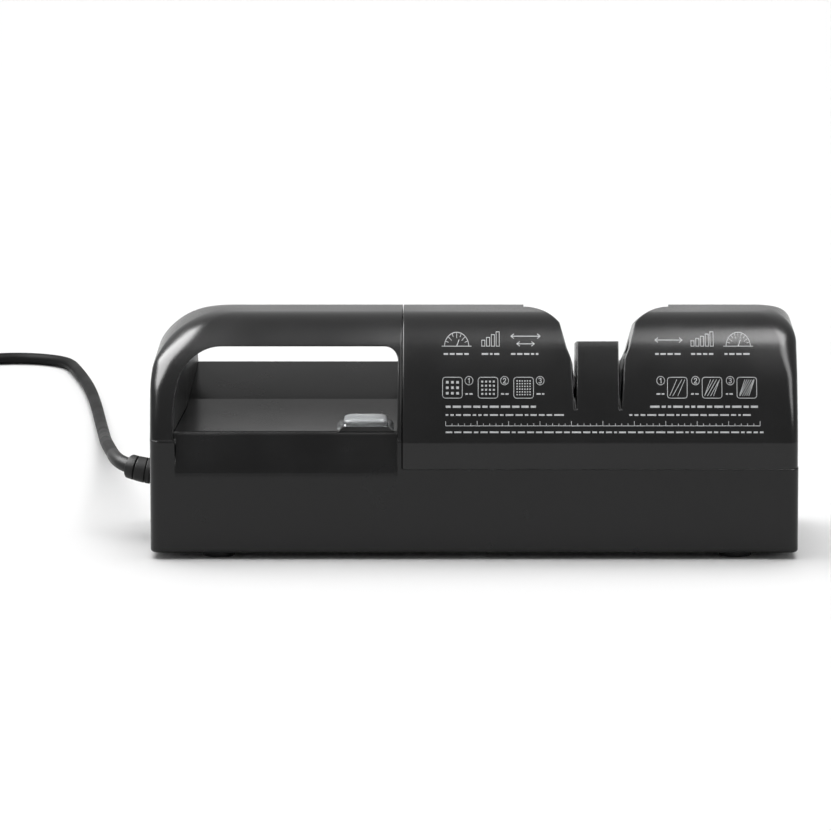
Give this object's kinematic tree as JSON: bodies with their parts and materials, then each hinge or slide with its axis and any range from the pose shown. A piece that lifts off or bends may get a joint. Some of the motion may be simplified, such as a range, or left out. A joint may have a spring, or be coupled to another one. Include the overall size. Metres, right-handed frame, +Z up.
{
  "type": "electric knife sharpener",
  "caption": "Electric belt knife sharpener with carrying handle, lift-off cover with two knife slots, booted rocker switch, coupled belt drive and mains cord.",
  "frame": {"origin": "centre of the footprint, on the surface that the feet stand on", "axes": "+X along the body towards the belt cover, -Y towards the user, +Z up"},
  "size_m": [0.5422, 0.5998, 0.1135],
  "materials": {
    "body_plastic": "satin black ABS, slightly glossy, fine mould texture",
    "liner_plastic": "satin dark grey ABS inner trim",
    "boot_clear": "clear flexible PVC, glossy",
    "rubber_black": "matte black rubber",
    "cord_sheath": "satin black PVC cord sheath",
    "zinc_steel": "zinc-plated steel, fine brushed",
    "ground_steel": "ground and polished steel",
    "cast_zinc": "die-cast, satin",
    "copper": "enamelled copper wire, glossy",
    "bronze": "sintered bronze, satin",
    "lamination": "stacked electrical steel sheets, dull",
    "nylon_white": "natural nylon, satin",
    "black_gloss": "glossy black moulded plastic",
    "abrasive_cloth": "fine light grey abrasive cloth belt",
    "toothed_rubber": "black neoprene toothed belt",
    "wire_insul": "coloured PVC wire insulation"
  },
  "bodies": {
    "base": {"base_housing": "body_plastic", "bottom_plate": "body_plastic", "capacitor": "nylon_white", "case_screws": "zinc_steel", "chassis_front_plate": "zinc_steel", "chassis_rear_plate": "zinc_steel", "chassis_screws": "zinc_steel", "chassis_spacers": "zinc_steel", "cord_clamp": "black_gloss", "cord_clamp_screws": "zinc_steel", "cord_coil": "cord_sheath", "cord_tie": "rubber_black", "drive_belt": "toothed_rubber", "foot_screws": "zinc_steel", "handle_liner": "liner_plastic", "handle_shell": "body_plastic", "interlock_switch": "black_gloss", "internal_wiring": "wire_insul", "left_abrasive_belt": "abrasive_cloth", "left_tension_spring": "ground_steel", "motor_bearings": "ground_steel", "motor_end_front": "cast_zinc", "motor_end_rear": "cast_zinc", "motor_saddle": "nylon_white", "motor_screws": "zinc_steel", "motor_stator": "lamination", "motor_strap": "zinc_steel", "motor_windings": "copper", "plug_body": "black_gloss", "plug_pins": "ground_steel", "power_cord": "cord_sheath", "right_abrasive_belt": "abrasive_cloth", "right_tension_spring": "ground_steel", "rubber_feet": "rubber_black", "shaft_bushes": "bronze", "strain_relief": "rubber_black", "switch_bezel": "black_gloss", "switch_body": "black_gloss", "switch_boot": "boot_clear", "switch_terminals": "bronze", "terminal_block": "nylon_white"},
    "lid": {"lid_cover": "body_plastic"},
    "rocker": {"switch_rocker": "black_gloss"},
    "plunger": {"interlock_plunger": "nylon_white"},
    "motor_rotor": {"motor_shaft": "ground_steel", "rotor_core": "lamination", "cooling_fan": "nylon_white", "motor_pulley": "cast_zinc"},
    "left_drive": {"left_drive_shaft": "ground_steel", "left_drive_roller": "cast_zinc", "left_gear": "nylon_white", "driven_pulley": "cast_zinc"},
    "right_drive": {"right_drive_shaft": "ground_steel", "right_drive_roller": "cast_zinc", "right_gear": "nylon_white"},
    "left_tension": {"left_carriage": "zinc_steel"},
    "right_tension": {"right_carriage": "zinc_steel"},
    "left_nose": {"left_nose_roller": "ground_steel"},
    "right_nose": {"right_nose_roller": "ground_steel"}
  },
  "joints": [
    {"name": "lid_lift", "type": "slide", "parent": "base", "child": "lid", "axis": [0, 0, 1], "range_m": [0, 0.08]},
    {"name": "rocker_tip", "type": "hinge", "parent": "base", "child": "rocker", "pos_m": [-0.052, -0.03995, 0.05837], "axis": [0, -0.9945, -0.1045], "range_deg": [0, 16]},
    {"name": "interlock_press", "type": "slide", "parent": "base", "child": "plunger", "axis": [0, 0, 1], "range_m": [-0.0015, 0], "stiffness_N_per_m": 300, "springref_m": 0.001},
    {"name": "motor_spin", "type": "hinge", "parent": "base", "child": "motor_rotor", "pos_m": [-0.088, 0, 0.033], "axis": [0, 1, 0], "continuous": true},
    {"name": "left_drive_spin", "type": "hinge", "parent": "base", "child": "left_drive", "pos_m": [0.0352, 0, 0.033], "axis": [0, 1, 0], "continuous": true},
    {"name": "right_drive_spin", "type": "hinge", "parent": "base", "child": "right_drive", "pos_m": [0.0832, 0, 0.033], "axis": [0, 1, 0], "continuous": true},
    {"name": "left_tension_slide", "type": "slide", "parent": "base", "child": "left_tension", "axis": [0, 0, 1], "range_m": [-0.0025, 0], "stiffness_N_per_m": 2000, "springref_m": 0.002, "deforming": ["left_tension_spring"]},
    {"name": "right_tension_slide", "type": "slide", "parent": "base", "child": "right_tension", "axis": [0, 0, 1], "range_m": [-0.0025, 0], "stiffness_N_per_m": 2000, "springref_m": 0.002, "deforming": ["right_tension_spring"]},
    {"name": "left_nose_spin", "type": "hinge", "parent": "left_tension", "child": "left_nose", "pos_m": [0.0392, 0, 0.0822], "axis": [0, 1, 0], "continuous": true},
    {"name": "right_nose_spin", "type": "hinge", "parent": "right_tension", "child": "right_nose", "pos_m": [0.0792, 0, 0.0822], "axis": [0, 1, 0], "continuous": true}
  ],
  "couplings": [
    {"joint": "left_drive_spin", "follows": "motor_spin", "ratio": 0.4},
    {"joint": "right_drive_spin", "follows": "motor_spin", "ratio": -0.4},
    {"joint": "left_nose_spin", "follows": "motor_spin", "ratio": 0.6},
    {"joint": "right_nose_spin", "follows": "motor_spin", "ratio": -0.6}
  ]
}
